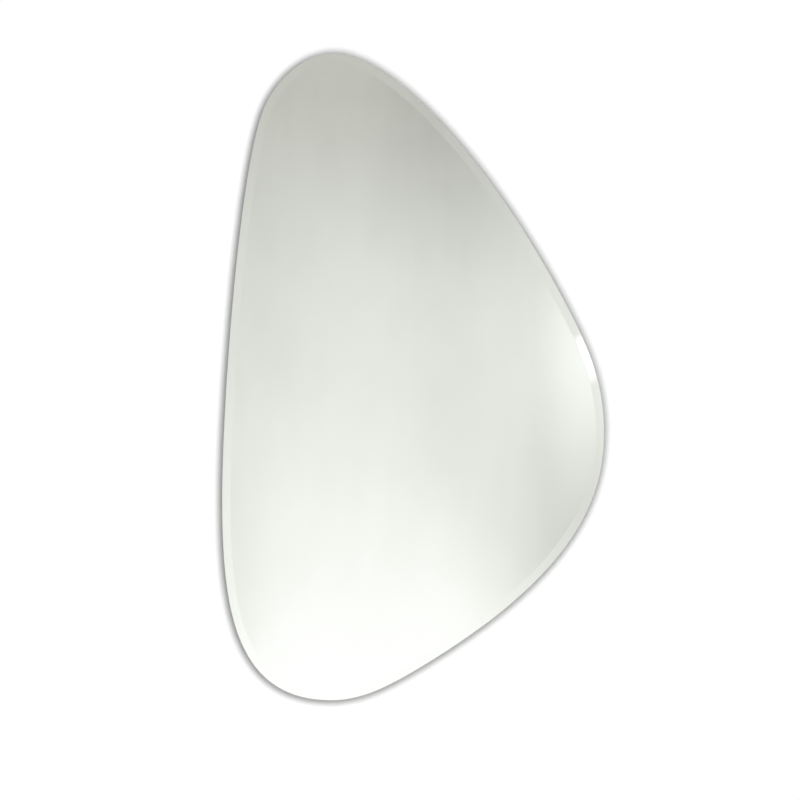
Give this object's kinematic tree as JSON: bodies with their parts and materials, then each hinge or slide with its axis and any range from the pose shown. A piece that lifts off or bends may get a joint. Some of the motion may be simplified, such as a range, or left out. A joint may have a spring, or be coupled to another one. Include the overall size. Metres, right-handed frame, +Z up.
{
  "type": "irregular frameless wall mirror",
  "caption": "Frameless wall mirror with an asymmetric pebble-shaped outline and a polished bevelled edge, on an inset board hung by swinging D-rings.",
  "frame": {"origin": "on the wall, midway between the two wall hooks, on the upright line through the glass's centre of area", "axes": "+X to the right as the room sees the mirror, +Y into the wall, +Z up; the glass faces -Y"},
  "size_m": [0.59, 0.0241, 1],
  "materials": {
    "glass": "polished, faintly green float glass",
    "silver": "silver behind the glass, painted on its back",
    "film": "woven-look safety film",
    "foam": "closed-cell foam tape",
    "mastic": "cured mirror adhesive",
    "fibreboard": "medium-density fibreboard",
    "zinc": "bright zinc plating",
    "rubber": "matte black"
  },
  "bodies": {
    "mirror": {"mirror_glass": "glass", "silver_coating": "silver", "safety_film": "film", "foam_tape_1": "foam", "foam_tape_2": "foam", "foam_tape_3": "foam", "foam_tape_4": "foam", "adhesive_dab_1": "mastic", "adhesive_dab_2": "mastic", "adhesive_dab_3": "mastic", "adhesive_dab_4": "mastic", "adhesive_dab_5": "mastic", "adhesive_dab_6": "mastic", "adhesive_dab_7": "mastic", "backing_board": "fibreboard", "strap_left": "zinc", "strap_right": "zinc", "screw_left_upper": "zinc", "screw_left_lower": "zinc", "screw_right_upper": "zinc", "screw_right_lower": "zinc", "bumper_top": "rubber", "bumper_right": "rubber", "bumper_bottom": "rubber", "bumper_left": "rubber"},
    "ring_left": {"ring_left": "zinc"},
    "ring_right": {"ring_right": "zinc"}
  },
  "joints": [
    {"name": "ring_left_swing", "type": "hinge", "parent": "mirror", "child": "ring_left", "pos_m": [-0.12034, -0.00445, -0.0172], "axis": [-1, 0, 0], "range_deg": [0, 184]},
    {"name": "ring_right_swing", "type": "hinge", "parent": "mirror", "child": "ring_right", "pos_m": [0.12034, -0.00445, -0.0172], "axis": [-1, 0, 0], "range_deg": [0, 184]}
  ]
}
